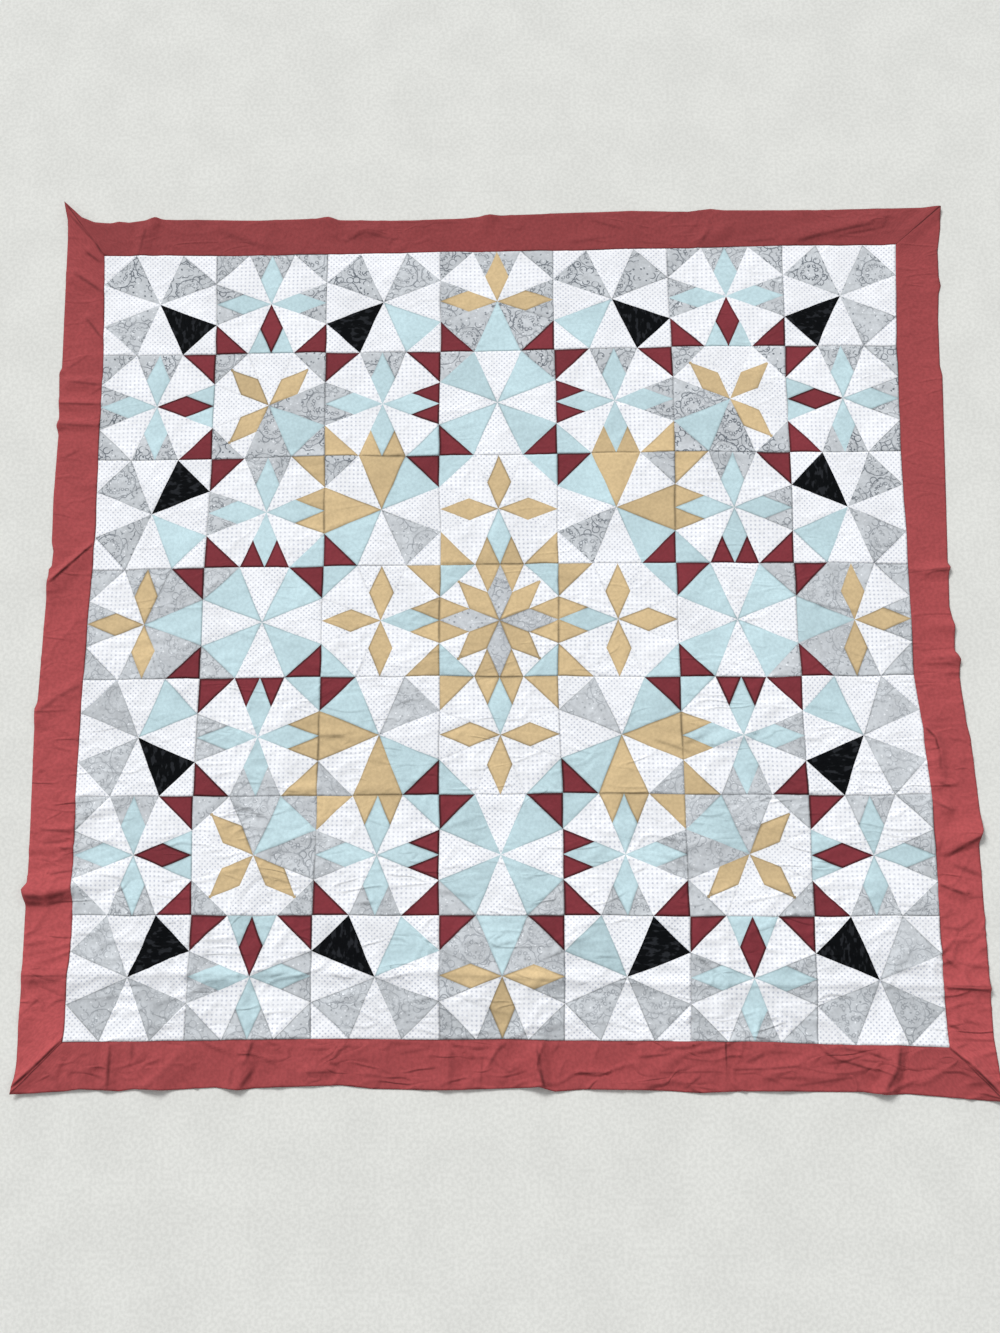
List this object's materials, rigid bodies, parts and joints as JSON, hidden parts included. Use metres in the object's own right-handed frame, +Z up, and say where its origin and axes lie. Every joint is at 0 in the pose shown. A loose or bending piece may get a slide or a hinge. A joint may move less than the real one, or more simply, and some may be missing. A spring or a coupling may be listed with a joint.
{
  "type": "patchwork star quilt",
  "caption": "Square pieced cotton quilt top of kaleidoscope star blocks in white, grey, aqua, gold, dark red and black, with a mitred rose-red border, laid out flat with soft folds.",
  "frame": {"origin": "middle of the panel's underside, on the surface that the quilt lies on", "axes": "+Z up off the surface, +Y towards the top border, +X towards the right border"},
  "size_m": [2.008, 2.028, 0.0179],
  "materials": {
    "patchwork_cotton": "pieced printed cotton, matt",
    "border_cotton": "plain woven rose-red cotton, matt"
  },
  "bodies": {
    "root": {"patchwork_panel": "patchwork_cotton", "border_top": "border_cotton", "border_right": "border_cotton", "border_bottom": "border_cotton", "border_left": "border_cotton"}
  },
  "joints": []
}
